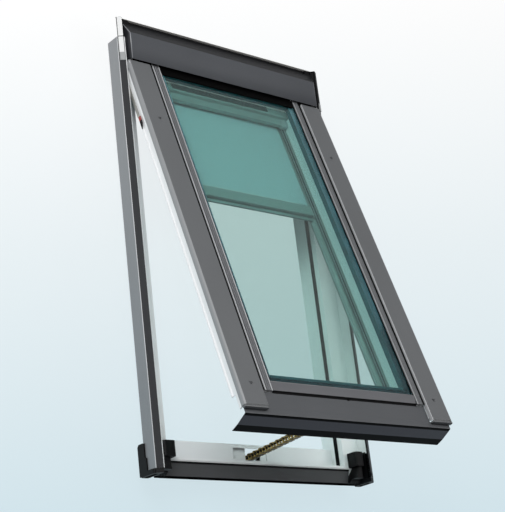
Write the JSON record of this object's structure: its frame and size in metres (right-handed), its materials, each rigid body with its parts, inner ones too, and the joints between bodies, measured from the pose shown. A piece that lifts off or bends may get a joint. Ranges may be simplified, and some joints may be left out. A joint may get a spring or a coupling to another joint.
{
  "type": "roof skylight",
  "caption": "Top-hung roof window on a curb frame with a hood, pushed open by a chain drive in the sill, with a roller blind under its glass.",
  "frame": {"origin": "under the middle of the frame's outline, on the lower edge of the inner lining", "axes": "+X across the width, +Y up the roof slope towards the hinges, +Z out of the roof"},
  "size_m": [0.789, 1.346, 0.4781],
  "materials": {
    "white_profile": "white lacquered polyurethane profile",
    "side_cladding": "grey lacquered aluminium sheet",
    "sill_cladding": "dark grey lacquered aluminium sheet",
    "head_metal": "light grey lacquered aluminium sheet",
    "white_trim": "smooth white plastic",
    "hood_paint": "grey lacquered aluminium sheet, satin",
    "grey_clip": "grey plastic",
    "black_plastic": "black moulded plastic",
    "seal_rubber": "black seal",
    "steel": "zinc plated steel",
    "drive_plastic": "white plastic cover",
    "motor_metal": "dark metal",
    "chain_metal": "yellow zinc plated steel",
    "red_clip": "red plastic",
    "cover_paint": "grey lacquered aluminium sheet, satin",
    "skirt_paint": "dark grey lacquered aluminium sheet",
    "black_trim": "black cover strip",
    "bead_metal": "anodised ridged strip",
    "dark_screw": "dark plated steel",
    "glass": "clear tempered glass with a green tint",
    "spacer_black": "black edge spacer",
    "blind_white": "white lacquered aluminium and plastic",
    "solar_cell": "dark cell strip with fine lines",
    "blind_cloth": "light translucent cloth",
    "roller_metal": "bare tube",
    "blind_cap": "light grey plastic"
  },
  "bodies": {
    "frame": {"jamb_left": "white_profile", "jamb_right": "white_profile", "sill_rail": "white_profile", "head_rail": "white_profile", "jamb_cover_left": "side_cladding", "jamb_cover_right": "side_cladding", "sill_cover": "sill_cladding", "casing_end_right": "sill_cladding", "head_casing": "head_metal", "casing_end_left": "white_trim", "hood": "hood_paint", "hood_clips": "grey_clip", "corner_block_left": "black_plastic", "corner_block_right": "black_plastic", "frame_gasket": "seal_rubber", "frame_screws": "steel", "hinge_plate_left": "steel", "hinge_plate_right": "steel", "hinge_pins": "steel", "actuator_casing": "drive_plastic", "actuator_motor": "motor_metal", "chain": "chain_metal"},
    "sash": {"hinge_arm_left": "steel", "hinge_arm_right": "steel", "chain_bracket": "steel", "chain_end": "steel", "bracket_pin": "steel", "hinge_clips": "red_clip", "arm_ends": "black_plastic", "sash_stile_left": "white_profile", "sash_stile_right": "white_profile", "sash_top_rail": "white_profile", "sash_bottom_rail": "white_profile", "side_cover_left": "cover_paint", "side_cover_right": "cover_paint", "cover_end_left": "cover_paint", "cover_end_right": "cover_paint", "bottom_cover": "skirt_paint", "top_cover": "black_trim", "glazing_bead_left": "bead_metal", "glazing_bead_right": "bead_metal", "bottom_bead": "bead_metal", "cover_screws": "dark_screw", "outer_pane": "glass", "inner_pane": "glass", "spacer": "spacer_black", "blind_cassette": "blind_white", "blind_rail_left": "blind_white", "blind_rail_right": "blind_white", "solar_strip": "solar_cell", "blind_fabric": "blind_cloth"},
    "blind_roller": {"blind_roller": "roller_metal"},
    "blind_bar": {"blind_bar": "blind_white", "blind_bar_caps": "blind_cap"},
    "drive_sprocket": {"drive_sprocket": "steel"}
  },
  "joints": [
    {"name": "sash_hinge", "type": "hinge", "parent": "frame", "child": "sash", "pos_m": [0, 0.545, 0.092], "axis": [-1, 0, 0], "range_deg": [-17.1, 0], "deforming": ["chain"]},
    {"name": "blind_slide", "type": "slide", "parent": "sash", "child": "blind_bar", "axis": [0, -0.9558, 0.294], "range_m": [-0.33, 0.6], "deforming": ["blind_fabric"]},
    {"name": "blind_roll", "type": "hinge", "parent": "sash", "child": "blind_roller", "pos_m": [0, 0.48031, 0.08323], "axis": [1, 0, 0], "range_deg": [-1720, 3140]},
    {"name": "drive_turn", "type": "hinge", "parent": "frame", "child": "drive_sprocket", "pos_m": [0.01655, -0.597, 0.019], "axis": [0, 1, 0], "range_deg": [-1200, 0]}
  ],
  "couplings": [
    {"joint": "blind_roll", "follows": "blind_slide", "rad_per_m": 87.719},
    {"joint": "drive_turn", "follows": "sash_hinge", "ratio": 68.878}
  ]
}
